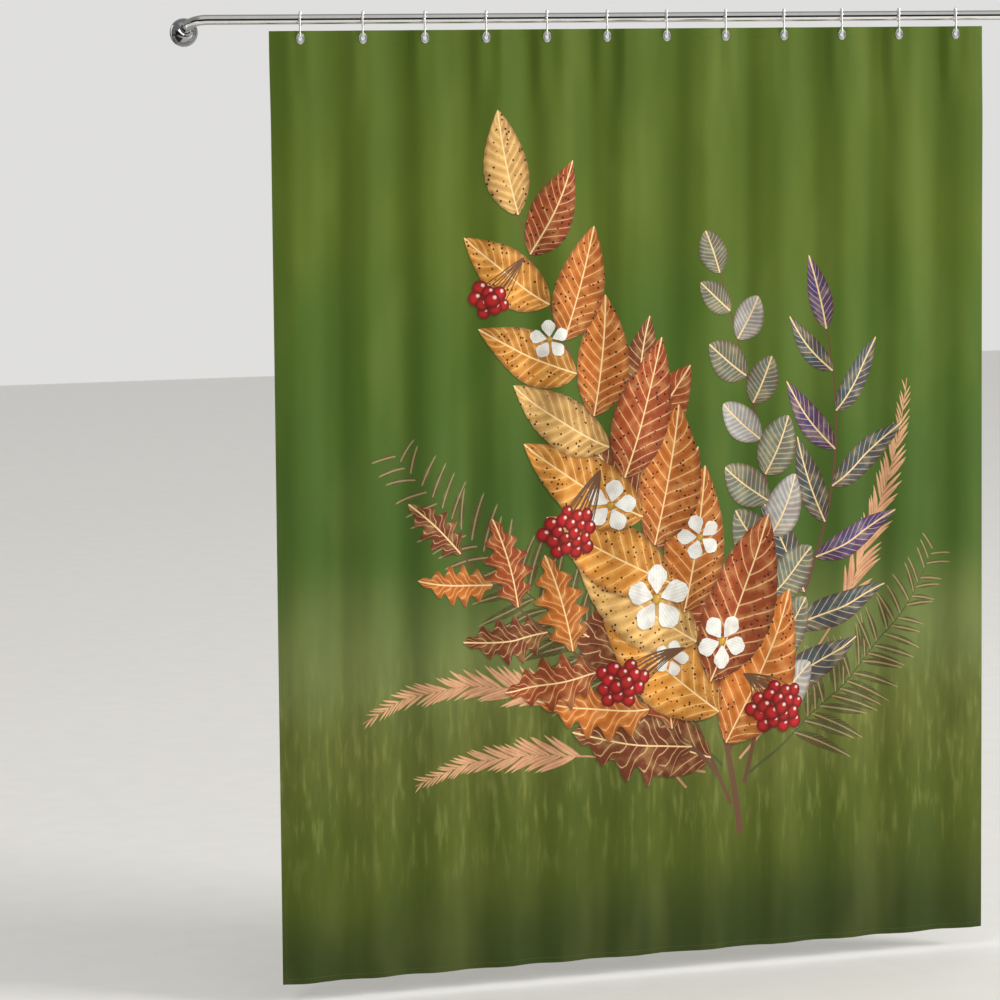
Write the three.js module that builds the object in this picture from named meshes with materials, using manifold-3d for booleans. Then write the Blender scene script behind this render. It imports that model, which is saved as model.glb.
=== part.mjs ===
// Shower curtain hanging from a wall-mounted rod by twelve roller hooks.
// Millimetres. The origin is the middle of the left flange's back face, where it meets the wall.
// +X runs along the rod to the right, +Y goes into the wall and +Z is up.
import * as THREE from 'three';
import { mergeVertices } from 'three/addons/utils/BufferGeometryUtils.js';
import Module from 'manifold-3d';

const wasm = await Module();
wasm.setup();

// Driving dimensions: the curtain is a 60 by 72 inch cloth, 1524 mm wide and 1829 mm long when flat.
const CURTAIN_DROP = 1829;
const HUNG_WIDTH = 1469;
const CLOTH_THICKNESS = 0.6;
const CURTAIN_LEFT = 151; // from the left flange's axis to the cloth's left edge
const TOP_BELOW_ROD = 21.7; // from the rod's axis down to the cloth's top edge
const CLOTH_OUT = 7.8; // the hem hangs this far in front of the rod's axis
const FOLD_DEPTH = 8.7; // the folds swing this far forward and back
// Distances from the cloth's left edge to the fold crests that face the room.
const FOLD_CRESTS = [-120, 21, 173, 297, 442, 558, 710, 873, 1027, 1167, 1308, 1449, 1590];

const HOOK_COUNT = 12;
const HOOK_SPACING = 123;
const SIDE_MARGIN = (HUNG_WIDTH - (HOOK_COUNT - 1) * HOOK_SPACING) / 2;

const ROD_RADIUS = 9.5;
const ROD_WALL = 1.2;
const ROD_STANDOFF = 62; // from the wall to the rod's axis
const ROD_RISE = 23; // the rod runs this far above the middles of its flanges
const BEND_RADIUS = 30; // of the quarter turn from the rod to the leg that goes to the wall
const ROD_SPAN = HUNG_WIDTH + 2 * CURTAIN_LEFT;

const FLANGE_RADIUS = 27;
const FLANGE_RIM = 2.4; // height of the rim's straight edge
const RIM_SLOPE = 1.5; // width of the sloped lip on the rim
const DOME_FOOT = 3.5; // height where the dome starts
const DOME_INSET = 3; // from the rim's edge in to the dome's foot
const FLANGE_HEIGHT = 19.5; // along the leg, from the wall to the collar
const FLANGE_FLOOR = 6; // along the leg, from the wall to the socket's floor
const COLLAR_WIDTH = 1.6; // flat ring round the socket's mouth

const HOOK_TURN = 19.5; // degrees that each hook hangs turned about the vertical through its eyelet
const WIRE_RADIUS = 1.6;
const ROLLER_RADIUS = 3;
const ROLLER_COUNT = 5;
const ROLLER_PITCH = 36; // degrees round the rod, from one roller to the next
const BEAD_RADIUS = 2.4; // the wire's two ends
const UPPER_TIP_OUT = 3; // the upper end flares away from the rod by this much
const UPPER_TIP_DROP = 10; // and hangs this far below the rod's axis
const LOWER_TIP_LEAN = 1.5; // the lower end leans away from the cloth by this much
const LOWER_TIP_RISE = 8; // and stands this far above the lower bowl's middle
const BOWL_IN_EYELET = 2.3; // the lower bowl runs this far above the eyelet's middle
// The eyelets are ovals, and these are half widths.
const EYELET_TALLNESS = 1.34; // an eyelet is this much taller than it is wide
const EYELET_HOLE = 3.6;
const EYELET_BARREL = 4.7;
const EYELET_RIM = 8.2;
const EYELET_PROUD = 1.2;
const EYELET_CREST = 7.2; // where the ring stands proudest
const EYELET_ROUNDING = 0.6; // the ring is this much lower at its hole than at its crest
const EYELET_BELOW_EDGE = 14.5;
const GAP = 0.3;

// Each end of the rod turns in a plane that slopes down to the wall, so its leg meets the wall at a
// slant. This is the corner where the leg's line meets the rod's axis.
const rodAxis = new THREE.Vector3(0, -ROD_STANDOFF, ROD_RISE);
const legSlant = Math.atan2(ROD_RISE, ROD_STANDOFF);
const clothPlane = rodAxis.y - CLOTH_OUT;
const clothTop = ROD_RISE - TOP_BELOW_ROD;
const eyeletHeight = clothTop - EYELET_BELOW_EDGE;

const chrome = { color: 0xc9c9cb, metalness: 1, roughness: 0.12 };
const nickel = { color: 0xc4c6c2, metalness: 1, roughness: 0.25 };
const printedCloth = { color: 0x55732d, metalness: 0, roughness: 0.8 };

const group = new THREE.Group();

function addPiece(name, geometry, finish, position = [0, 0, 0]) {
  const mesh = new THREE.Mesh(geometry, new THREE.MeshStandardMaterial(finish));
  mesh.name = name;
  mesh.position.set(...position);
  group.add(mesh);
  return mesh;
}

function toSolid(geometry) {
  const bare = geometry.clone();
  bare.deleteAttribute('normal');
  bare.deleteAttribute('uv');
  const merged = mergeVertices(bare, 1e-4);
  const vertProperties = new Float32Array(merged.attributes.position.array);
  const triVerts = new Uint32Array(merged.index.array);
  return new wasm.Manifold(new wasm.Mesh({ numProp: 3, vertProperties, triVerts }));
}

function toGeometry(solid) {
  const mesh = solid.getMesh();
  const geometry = new THREE.BufferGeometry();
  const positions = new Float32Array(mesh.vertProperties);
  geometry.setAttribute('position', new THREE.BufferAttribute(positions, 3));
  geometry.setIndex(new THREE.BufferAttribute(new Uint32Array(mesh.triVerts), 1));
  return geometry;
}

// A round section of so many sides, as wide at its corners as the radius says.
function roundOutline(radius, sides) {
  const corners = [];
  for (let k = 0; k < sides; k += 1) {
    const turn = (2 * Math.PI * (k + 0.5)) / sides;
    corners.push(new THREE.Vector2(radius * Math.cos(turn), radius * Math.sin(turn)));
  }
  return corners;
}

// Rod: a thin-walled tube, straight over the opening and bent back to the wall at both ends.
const ROD_SIDES = 16;
const BEND_STEPS = 9;
const rodSection = new THREE.Shape(roundOutline(ROD_RADIUS, ROD_SIDES));
rodSection.holes.push(new THREE.Path(roundOutline(ROD_RADIUS - ROD_WALL, ROD_SIDES)));

function straightTube() {
  const length = ROD_SPAN - 2 * (BEND_RADIUS + GAP);
  const tube = new THREE.ExtrudeGeometry(rodSection, { depth: length, bevelEnabled: false });
  tube.rotateY(Math.PI / 2);
  return tube;
}

// A cubic curve follows a quarter circle closely when its handles are this long for each radius.
const QUARTER_TURN_HANDLE = 0.5523;

function alongLeg(distance) {
  return rodAxis.clone().setLength(distance);
}

function bentTube() {
  const bendStart = rodAxis.length() - BEND_RADIUS;
  const handle = QUARTER_TURN_HANDLE * BEND_RADIUS;
  const bendEnd = rodAxis.clone().setX(BEND_RADIUS);
  const nearEnd = rodAxis.clone().setX(BEND_RADIUS - handle);
  const wallEnd = alongLeg(FLANGE_FLOOR + GAP);
  const bend = [alongLeg(bendStart), alongLeg(bendStart + handle), nearEnd, bendEnd];
  const centreLine = new THREE.CurvePath();
  centreLine.add(new THREE.LineCurve3(wallEnd, bend[0]));
  centreLine.add(new THREE.CubicBezierCurve3(...bend));
  return new THREE.ExtrudeGeometry(rodSection, { steps: BEND_STEPS, extrudePath: centreLine });
}

function mirroredAcross(geometry, middleX) {
  const mirrored = geometry.clone();
  const positions = mirrored.attributes.position;
  for (let k = 0; k < positions.count; k += 1) {
    positions.setX(k, 2 * middleX - positions.getX(k));
  }
  for (let k = 0; k < positions.count; k += 3) {
    const second = new THREE.Vector3().fromBufferAttribute(positions, k + 1);
    const third = new THREE.Vector3().fromBufferAttribute(positions, k + 2);
    positions.setXYZ(k + 1, third.x, third.y, third.z);
    positions.setXYZ(k + 2, second.x, second.y, second.z);
  }
  return mirrored;
}

addPiece('rod_tube', straightTube(), chrome, [BEND_RADIUS + GAP, rodAxis.y, rodAxis.z]);
const leftEnd = bentTube();
addPiece('rod_end_left', leftEnd, chrome);
addPiece('rod_end_right', mirroredAcross(leftEnd, ROD_SPAN / 2), chrome);

// Flange: a domed rose with a flat back for the wall. It leans over more and more from its rim up,
// so that its collar and its socket are square to the slanting leg.
const FLANGE_SEGMENTS = 24;
const DOME_STEPS = 4;
const SOCKET_RADIUS = ROD_RADIUS + GAP;

function flangeProfile() {
  const profile = [
    new THREE.Vector2(0, 0),
    new THREE.Vector2(FLANGE_RADIUS, 0),
    new THREE.Vector2(FLANGE_RADIUS, FLANGE_RIM),
    new THREE.Vector2(FLANGE_RADIUS - RIM_SLOPE, DOME_FOOT),
  ];
  const domeRadius = FLANGE_RADIUS - DOME_INSET;
  const lastRise = Math.acos((SOCKET_RADIUS + COLLAR_WIDTH) / domeRadius);
  const domeDepth = (FLANGE_HEIGHT - DOME_FOOT) / Math.sin(lastRise);
  for (let k = 0; k <= DOME_STEPS; k += 1) {
    const rise = (k / DOME_STEPS) * lastRise;
    const radius = domeRadius * Math.cos(rise);
    const height = DOME_FOOT + domeDepth * Math.sin(rise);
    profile.push(new THREE.Vector2(radius, height));
  }
  profile.push(new THREE.Vector2(SOCKET_RADIUS, FLANGE_HEIGHT));
  profile.push(new THREE.Vector2(SOCKET_RADIUS, FLANGE_FLOOR));
  profile.push(new THREE.Vector2(0, FLANGE_FLOOR));
  return profile;
}

// How much of the leg's slant a point takes: all of it in the socket, and more with height outside.
function leanShare(radius, height) {
  const inSocket = radius < SOCKET_RADIUS + GAP && height > GAP;
  return inSocket ? 1 : THREE.MathUtils.smoothstep(height, DOME_FOOT, FLANGE_HEIGHT);
}

function flangeGeometry() {
  const flange = new THREE.LatheGeometry(flangeProfile(), FLANGE_SEGMENTS);
  flange.rotateX(Math.PI);
  const positions = flange.attributes.position;
  const point = new THREE.Vector3();
  const acrossRod = new THREE.Vector3(1, 0, 0);
  for (let k = 0; k < positions.count; k += 1) {
    point.fromBufferAttribute(positions, k);
    const share = leanShare(Math.hypot(point.x, point.z), -point.y);
    point.applyAxisAngle(acrossRod, -legSlant * share);
    positions.setXYZ(k, ...point);
  }
  return flange;
}

const flange = flangeGeometry();
addPiece('flange_left', flange, chrome);
addPiece('flange_right', flange, chrome, [ROD_SPAN, 0, 0]);

// Hook: one round wire bent to a long C that is open at the back. Its upper bowl rides over the rod
// on five roller balls, its stem drops straight down in front of the hem, and its lower bowl turns
// back through the eyelet. Both ends are beads.
const WIRE_SIDES = 6;
const WIRE_STEPS = 27;
const UPPER_ARC_PIECES = 9;
const LOWER_ARC_PIECES = 7;
const BALL_SEGMENTS = 6;
const BALL_RINGS = 4;

// A point of the hook, from how far it is behind the rod's axis and how high above it.
function hookPoint(back, height) {
  const sideways = (back + CLOTH_OUT) * Math.tan(THREE.MathUtils.degToRad(HOOK_TURN));
  return new THREE.Vector3(sideways, back, height);
}

function arcPoint(middle, radius, turn) {
  return hookPoint(middle.x + radius * Math.cos(turn), middle.y + radius * Math.sin(turn));
}

function arcPoints(middle, radius, fromTurn, toTurn, pieces) {
  const points = [];
  for (let k = 0; k <= pieces; k += 1) {
    points.push(arcPoint(middle, radius, fromTurn + ((toTurn - fromTurn) * k) / pieces));
  }
  return points;
}

function hookGeometry() {
  const upperMiddle = new THREE.Vector2();
  const upperRadius = ROD_RADIUS + GAP + ROLLER_RADIUS;
  const lowerRadius = upperRadius - CLOTH_OUT;
  const lowerHeight = eyeletHeight - rodAxis.z + BOWL_IN_EYELET + lowerRadius;
  const lowerMiddle = new THREE.Vector2(-CLOTH_OUT, lowerHeight);
  const lowerBack = lowerRadius - CLOTH_OUT;
  const upperTip = hookPoint(upperRadius + UPPER_TIP_OUT, -UPPER_TIP_DROP);
  const lowerTip = hookPoint(lowerBack + LOWER_TIP_LEAN, lowerHeight + LOWER_TIP_RISE);
  const wirePoints = [
    upperTip,
    hookPoint(upperRadius + UPPER_TIP_OUT / 3, -UPPER_TIP_DROP / 2),
    ...arcPoints(upperMiddle, upperRadius, 0, Math.PI, UPPER_ARC_PIECES),
    hookPoint(-upperRadius, lowerHeight / 3),
    hookPoint(-upperRadius, (2 * lowerHeight) / 3),
    ...arcPoints(lowerMiddle, lowerRadius, Math.PI, 2 * Math.PI, LOWER_ARC_PIECES),
    lowerTip,
  ];
  const wirePath = new THREE.CatmullRomCurve3(wirePoints, false, 'centripetal');
  const section = new THREE.Shape(roundOutline(WIRE_RADIUS, WIRE_SIDES));
  const wire = new THREE.ExtrudeGeometry(section, { steps: WIRE_STEPS, extrudePath: wirePath });

  let hook = toSolid(wire);
  const addBall = (centre, radius) => {
    const ball = new THREE.SphereGeometry(radius, BALL_SEGMENTS, BALL_RINGS);
    hook = hook.add(toSolid(ball.translate(centre.x, centre.y, centre.z)));
  };
  for (let k = 0; k < ROLLER_COUNT; k += 1) {
    const turn = 90 + (k - (ROLLER_COUNT - 1) / 2) * ROLLER_PITCH;
    addBall(arcPoint(upperMiddle, upperRadius, THREE.MathUtils.degToRad(turn)), ROLLER_RADIUS);
  }
  addBall(upperTip, BEAD_RADIUS);
  addBall(lowerTip, BEAD_RADIUS);
  return toGeometry(hook);
}

// Eyelet: an oval rolled metal ring that clamps the hem from both faces.
const EYELET_SEGMENTS = 12;

function eyeletGeometry() {
  const half = CLOTH_THICKNESS / 2 + GAP;
  const proud = half + EYELET_PROUD;
  const holeEdge = proud - EYELET_ROUNDING;
  const profile = [
    new THREE.Vector2(EYELET_HOLE, holeEdge),
    new THREE.Vector2(EYELET_HOLE, -holeEdge),
    new THREE.Vector2(EYELET_CREST, -proud),
    new THREE.Vector2(EYELET_RIM, -half),
    new THREE.Vector2(EYELET_BARREL, -half),
    new THREE.Vector2(EYELET_BARREL, half),
    new THREE.Vector2(EYELET_RIM, half),
    new THREE.Vector2(EYELET_CREST, proud),
    new THREE.Vector2(EYELET_HOLE, holeEdge),
  ];
  const ring = new THREE.LatheGeometry(profile, EYELET_SEGMENTS);
  return ring.scale(1, 1, EYELET_TALLNESS);
}

// Cloth: one panel hangs from each hook. Together they make the folded curtain, and each is flat
// round its eyelet, so that the ring lies on it.
const FLAT_HALF_WIDTH = 10;
const FULL_FOLD_AT = 38;
const PUNCH_LENGTH = 20; // long enough to go through the cloth at any fold

function foldOffset(fromLeftEdge) {
  let k = 0;
  while (fromLeftEdge > FOLD_CRESTS[k + 1]) {
    k += 1;
  }
  const share = (fromLeftEdge - FOLD_CRESTS[k]) / (FOLD_CRESTS[k + 1] - FOLD_CRESTS[k]);
  return -FOLD_DEPTH * Math.cos(2 * Math.PI * share);
}

// Where one half of a panel bends, from its eyelet out to its edge.
function bendStops(reach) {
  const halfFoldAt = (FLAT_HALF_WIDTH + FULL_FOLD_AT) / 2;
  return [FLAT_HALF_WIDTH, halfFoldAt, FULL_FOLD_AT, (FULL_FOLD_AT + reach) / 2, reach];
}

function panelGeometry(index) {
  const middle = SIDE_MARGIN + index * HOOK_SPACING;
  const toNext = (HOOK_SPACING - GAP) / 2;
  const leftReach = index === 0 ? SIDE_MARGIN : toNext;
  const rightReach = index === HOOK_COUNT - 1 ? SIDE_MARGIN : toNext;
  const leftStops = bendStops(leftReach).map((stop) => -stop);
  const stops = [...leftStops.reverse(), ...bendStops(rightReach)];
  const front = [];
  const back = [];
  for (const x of stops) {
    const freedom = THREE.MathUtils.smoothstep(Math.abs(x), FLAT_HALF_WIDTH, FULL_FOLD_AT);
    const y = foldOffset(middle + x) * freedom;
    front.push(new THREE.Vector2(x, y - CLOTH_THICKNESS / 2));
    back.unshift(new THREE.Vector2(x, y + CLOTH_THICKNESS / 2));
  }
  const section = new THREE.Shape([...front, ...back]);
  const cloth = new THREE.ExtrudeGeometry(section, { depth: CURTAIN_DROP, bevelEnabled: false });
  cloth.translate(0, 0, -CURTAIN_DROP + EYELET_BELOW_EDGE);
  const holeRadius = EYELET_BARREL + GAP;
  const punch = new THREE.CylinderGeometry(holeRadius, holeRadius, PUNCH_LENGTH, EYELET_SEGMENTS);
  punch.scale(1, 1, EYELET_TALLNESS);
  return toGeometry(toSolid(cloth).subtract(toSolid(punch)));
}

const hook = hookGeometry();
const eyelet = eyeletGeometry();
for (let k = 0; k < HOOK_COUNT; k += 1) {
  const number = String(k + 1).padStart(2, '0');
  const x = CURTAIN_LEFT + SIDE_MARGIN + k * HOOK_SPACING;
  addPiece(`hook_${number}`, hook, chrome, [x, rodAxis.y, rodAxis.z]);
  addPiece(`eyelet_${number}`, eyelet, nickel, [x, clothPlane, eyeletHeight]);
  addPiece(`panel_${number}`, panelGeometry(k), printedCloth, [x, clothPlane, eyeletHeight]);
}

export default group;
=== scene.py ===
# %% [markdown]
# # A shower curtain on its rod
#
# A printed polyester cloth hangs from a chrome rod by twelve roller hooks. The solid model already
# holds the rod, hooks, eyelets and twelve plain panels, and says where everything sits and moves.
# This lesson dresses that frame: one continuous folded cloth, real hems and stitches, round metal,
# and a soft studio. The frame is loaded first, so every later size can be read from it.

# %% Load the frame
import math

import bpy
import numpy as np
from mathutils import Matrix, Quaternion, Vector
from mathutils.geometry import delaunay_2d_cdt


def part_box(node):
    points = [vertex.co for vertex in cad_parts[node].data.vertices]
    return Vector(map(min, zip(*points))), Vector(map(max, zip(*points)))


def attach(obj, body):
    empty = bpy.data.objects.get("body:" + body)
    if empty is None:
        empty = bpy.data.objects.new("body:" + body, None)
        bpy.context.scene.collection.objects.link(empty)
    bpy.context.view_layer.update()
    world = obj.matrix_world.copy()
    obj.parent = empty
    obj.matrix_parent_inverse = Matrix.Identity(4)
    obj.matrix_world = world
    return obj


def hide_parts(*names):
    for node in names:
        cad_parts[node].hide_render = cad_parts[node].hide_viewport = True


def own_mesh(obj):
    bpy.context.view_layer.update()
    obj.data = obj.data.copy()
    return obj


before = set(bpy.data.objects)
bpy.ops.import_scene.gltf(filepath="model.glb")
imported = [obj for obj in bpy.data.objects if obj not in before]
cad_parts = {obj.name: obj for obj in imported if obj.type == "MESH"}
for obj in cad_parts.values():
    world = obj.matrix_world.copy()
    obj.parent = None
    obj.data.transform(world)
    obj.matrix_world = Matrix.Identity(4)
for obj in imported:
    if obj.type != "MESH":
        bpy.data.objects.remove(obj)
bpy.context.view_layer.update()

# %% [markdown]
# ## Sizes that everything shares
#
# The cloth's edges come from the outer panels, its plane from an eyelet, and the rod's axis from the
# middle of its tube. The flat size is the cut: 60 by 72 inches. Hanging in folds makes the width
# shorter, so points on the flat cloth are drawn in flat metres, and only later moved to their place
# in the folds.

# %% Read the shared sizes
HOOKS = 12
FLAT_WIDTH, FLAT_DROP = 1.524, 1.829

first_low, first_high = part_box("panel_01")
last_low, last_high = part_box("panel_12")
rod_low, rod_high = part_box("rod_tube")
rod_axis = (rod_low + rod_high) / 2
cloth_left, cloth_right = first_low.x, last_high.x
cloth_top = first_high.z
hung_width = cloth_right - cloth_left
hung_share = hung_width / FLAT_WIDTH


def middle_of(node):
    low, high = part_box(node)
    return (low + high) / 2


hook_numbers = [f"{k:02d}" for k in range(1, HOOKS + 1)]
hook_x = [middle_of(f"eyelet_{number}").x for number in hook_numbers]
cloth_plane, eyelet_z = middle_of("eyelet_01").y, middle_of("eyelet_01").z
print("hung width", round(hung_width, 4), "share of flat", round(hung_share, 4))

# %% [markdown]
# ## Small helpers for shader nodes
#
# Every finish below is a short list of nodes. A bench holds one node tree and makes each node, with
# its inputs set or linked, in one call, which keeps those lists readable. Colours are picked as they
# look on a screen, and a shader works in linear light, so one helper turns the first into the second.

# %% Node helpers


def linear(red, green, blue):
    """A screen colour of 0 to 255 as linear light."""
    made = []
    for value in (red, green, blue):
        share = value / 255
        made.append(share / 12.92 if share <= 0.04045 else ((share + 0.055) / 1.055) ** 2.4)
    return (*made, 1.0)


class Bench:
    """A node tree, with a short call for each kind of node that the finishes use."""

    def __init__(self, tree):
        self.tree = tree
        tree.nodes.clear()

    def plug(self, made, inputs):
        """Set a node's inputs to values, or link them to other nodes' outputs."""
        for name, value in inputs.items():
            if isinstance(value, bpy.types.NodeSocket):
                self.tree.links.new(value, made.inputs[name])
            else:
                made.inputs[name].default_value = value

    def add(self, kind, inputs=None, **settings):
        made = self.tree.nodes.new(f"ShaderNode{kind}")
        for name, value in settings.items():
            setattr(made, name, value)
        self.plug(made, inputs or {})
        return made

    def stored(self, name, output="Vector"):
        """A value that the mesh carries under this name."""
        return self.add("Attribute", attribute_name=name).outputs[output]

    def split(self, vector):
        return self.add("SeparateXYZ", {0: vector}).outputs

    def noise(self, place, scale, detail):
        return self.add("TexNoise", {"Vector": place, "Scale": scale, "Detail": detail}).outputs[0]

    def bump(self, height, strength, distance):
        inputs = {"Height": height, "Strength": strength, "Distance": distance}
        return self.add("Bump", inputs).outputs[0]

    def maths(self, operation, *values):
        return self.add("Math", dict(enumerate(values)), operation=operation).outputs[0]

    def times(self, first, second):
        return self.maths("MULTIPLY", first, second)

    def rest(self, share):
        """What a share leaves of one."""
        return self.maths("SUBTRACT", 1.0, share)

    def fade(self, value, low, high, most=1.0):
        """0 up to low, most from high on, smooth between."""
        inputs = {"Value": value, "From Min": low, "From Max": high, "To Max": most}
        return self.add("MapRange", inputs, interpolation_type="SMOOTHSTEP").outputs["Result"]

    def mix(self, share, first, second):
        """Two colours mixed by a share from 0 to 1."""
        return self.add("Mix", {0: share, 6: first, 7: second}, data_type="RGBA").outputs[2]


def new_finish(name):
    """An empty material, the bench for its nodes, and its shader."""
    material = bpy.data.materials.new(name)
    material.use_nodes = True
    bench = Bench(material.node_tree)
    shader = bench.add("BsdfPrincipled")
    bench.add("OutputMaterial", {0: shader.outputs[0]})
    return material, bench, shader


print("middle grey as light", round(linear(128, 128, 128)[0], 3))

# %% [markdown]
# ## Polished metal
#
# Chrome shows the room more than itself, so its own finish is quiet: almost a mirror, with faint
# smears where hands and cleaning cloths went, which show as small changes of roughness. The flanges'
# chrome is painted darker than the rod's, as painted shade for the darker room that their domes
# mirror. The hooks and eyelets are thinner plating with a satin look, which stays pale where a
# mirror would turn dark, so theirs is rougher and only partly metal.

# %% Chrome and nickel
SMEAR_SCALE, SPECK_SCALE = 60.0, 900.0
WORN_SHARE = 0.93


def polished_metal(name, colour, roughness, smear, metal=1.0):
    """Metal of a colour, whose roughness rises by the smear where it was wiped."""
    material, bench, shader = new_finish(name)
    place = bench.add("TexCoord").outputs["Object"]
    cloudy = bench.fade(bench.noise(place, SMEAR_SCALE, 4.0), 0.35, 0.75)
    worn = (*(WORN_SHARE * value for value in colour[:3]), 1.0)
    inputs = {
        "Base Color": bench.mix(cloudy, colour, worn),
        "Roughness": bench.maths("MULTIPLY_ADD", cloudy, smear, roughness),
        "Metallic": metal,
        "Normal": bench.bump(bench.noise(place, SPECK_SCALE, 2.0), 0.02, 0.0002),
    }
    bench.plug(shader, inputs)
    return material


rod_chrome = polished_metal("rod_chrome", linear(226, 225, 223), 0.05, 0.07)
# The flanges' base colour is painted darker than the rod's: painted shade for the dark room their
# domes mirror.
flange_chrome_painted_dark = polished_metal("flange_chrome_painted_dark", linear(174, 174, 175), 0.08, 0.08)
hook_chrome = polished_metal("hook_chrome", linear(250, 250, 248), 0.40, 0.08, 0.75)
eyelet_nickel = polished_metal("eyelet_nickel", linear(230, 233, 230), 0.16, 0.10, 0.65)
print("metals", [m.name for m in (rod_chrome, flange_chrome_painted_dark, hook_chrome, eyelet_nickel)])

# %% [markdown]
# ## Pieces from a path and pieces from a profile
#
# A rod and a hook are a round section carried along a path. Carrying the section's frame from one
# point to the next, turned only as much as the path turns, keeps the tube from twisting. Flanges and
# eyelets are turned on a lathe: a profile spun round an axis. These two helpers make nearly all the
# metal, and both join one ring of points to the next in the same way.

# %% Rings and objects


def make_object(name, points, faces, material, smooth=True):
    mesh = bpy.data.meshes.new(name)
    mesh.from_pydata([tuple(p) for p in points], [], faces)
    mesh.polygons.foreach_set("use_smooth", [smooth] * len(mesh.polygons))
    mesh.materials.append(material)
    mesh.update()
    made = bpy.data.objects.new(name, mesh)
    bpy.context.collection.objects.link(made)
    return made


def full_turn(steps):
    """Even angles once round a circle."""
    return np.linspace(0, 2 * math.pi, steps, endpoint=False)


def band(near, far, sides):
    """The faces between two rings of points that start at near and far."""
    following = [(s + 1) % sides for s in range(sides)]
    return [(near + s, near + following[s], far + following[s], far + s) for s in range(sides)]


print("faces between two rings of four", band(0, 4, 4))

# %% Sweep and lathe


def swept_round(path, radius, sides):
    """Points and faces of a round bar along a path, closed at both ends."""
    along = np.gradient(path, axis=0)
    along /= np.linalg.norm(along, axis=1)[:, None]
    across = np.cross(along[0], (0.3, 0.5, 0.8))
    points, faces = [], []
    for centre, ahead in zip(path, along):
        across -= ahead * (across @ ahead)
        across /= np.linalg.norm(across)
        other = np.cross(ahead, across)
        for turn in full_turn(sides):
            points.append(centre + radius * (across * math.cos(turn) + other * math.sin(turn)))
    for k in range(len(path) - 1):
        faces += band(k * sides, (k + 1) * sides, sides)
    faces.append(tuple(reversed(range(sides))))
    faces.append(tuple(range((len(path) - 1) * sides, len(path) * sides)))
    return points, faces


def turned_profile(profile, sides, closed):
    """Points and faces of a profile of (radius, height) spun round the Y axis, height towards -Y."""
    points, faces = [], []
    for turn in full_turn(sides):
        for radius, height in profile:
            points.append((radius * math.cos(turn), -height, radius * math.sin(turn)))
    count = len(profile)
    steps = count if closed else count - 1
    for s in range(sides):
        faces += band(s * count, (s + 1) % sides * count, count)[:steps]
    return points, faces


def rounded(corners, radius, pieces=4):
    """A profile with each inner corner replaced by a small curve."""
    made = [corners[0]]
    for before, corner, after in zip(corners, corners[1:], corners[2:]):
        here = np.array(corner)
        back, ahead = np.array(before) - here, np.array(after) - here
        reach = min(radius, np.linalg.norm(back) * 0.45, np.linalg.norm(ahead) * 0.45)
        start = here + back / np.linalg.norm(back) * reach
        end = here + ahead / np.linalg.norm(ahead) * reach
        for t in np.linspace(0, 1, pieces + 1):
            made.append(tuple((1 - t) ** 2 * start + 2 * t * (1 - t) * here + t**2 * end))
    return [*made, corners[-1]]


print("a square corner rounded", np.round(rounded([(0, 0), (1, 0), (1, 1)], 0.2, 2), 2).tolist())

# %% [markdown]
# ## The rod
#
# The real rod is one steel tube. A bender gave each end a single quarter turn, and the rod then hangs
# with those ends sloping down, so it runs a little higher than its flanges. The solids hold it as
# three lengths. One swept tube over the same line and arc replaces them, so the reflection runs on
# through the bends with no seam.

# %% Bend the rod
SOLID_SIDES = 16
ROD_RADIUS = (rod_high.z - rod_low.z) / 2 / math.cos(math.pi / SOLID_SIDES)
FLANGE_FLOOR = 0.0063
bend_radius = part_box("rod_end_left")[1].x
rod_span = middle_of("flange_right").x
leg_slant = math.atan2(rod_axis.z, -rod_axis.y)
leg_length = math.hypot(rod_axis.y, rod_axis.z)


def along_leg(distance):
    """A point on the slanting line from the flange's middle to the rod's axis."""
    return distance * np.array([0, -math.cos(leg_slant), math.sin(leg_slant)])


def rod_path():
    """The rod's middle line: a leg and a bend on the left, the straight, and the same mirrored."""
    centre = along_leg(leg_length - bend_radius) + (bend_radius, 0, 0)
    bend = []
    for turn in np.linspace(0, math.pi / 2, 36):
        beside = (bend_radius * math.cos(turn), 0, 0)
        bend.append(centre - beside + along_leg(bend_radius * math.sin(turn)))
    leg = np.linspace(along_leg(FLANGE_FLOOR), bend[0], 8)[:-1]
    left = np.vstack([leg, bend])
    right = left[::-1] * (-1, 1, 1) + (rod_span, 0, 0)
    straight = np.linspace(left[-1], right[0], 60)[1:-1]
    return np.vstack([left, straight, right])


path = rod_path()
rod = make_object("rod", *swept_round(path, ROD_RADIUS, 64), rod_chrome)
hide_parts("rod_tube", "rod_end_left", "rod_end_right")
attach(rod, "rod")
print("rod radius", round(ROD_RADIUS, 4), "span", round(rod_span, 3))

# %% [markdown]
# ## The wall flanges
#
# Each flange is a domed rose pressed from sheet and chromed, with a thin rolled rim at its back and a
# rounded lip where the rod enters. A profile on the lathe gives the rim its bright edge line. The
# rod's leg comes in at a slant, so the turned dome is then leaned over: not at all at its rim, and by
# the whole slant at its lip.

# %% Turn the flanges
FLANGE_RADIUS, RIM_EDGE, RIM_HEIGHT, RIM_BEVEL = 0.027, 0.0024, 0.0034, 0.0014
DOME_FOOT, FLANGE_HEIGHT = 0.024, 0.0195
COLLAR_RADIUS, LIP_WIDTH = ROD_RADIUS + 0.0003, 0.0016
LIP_CROWN, LIP_TURN, PRESSED_CORNER = 0.0003, 0.0006, 0.0007


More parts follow.
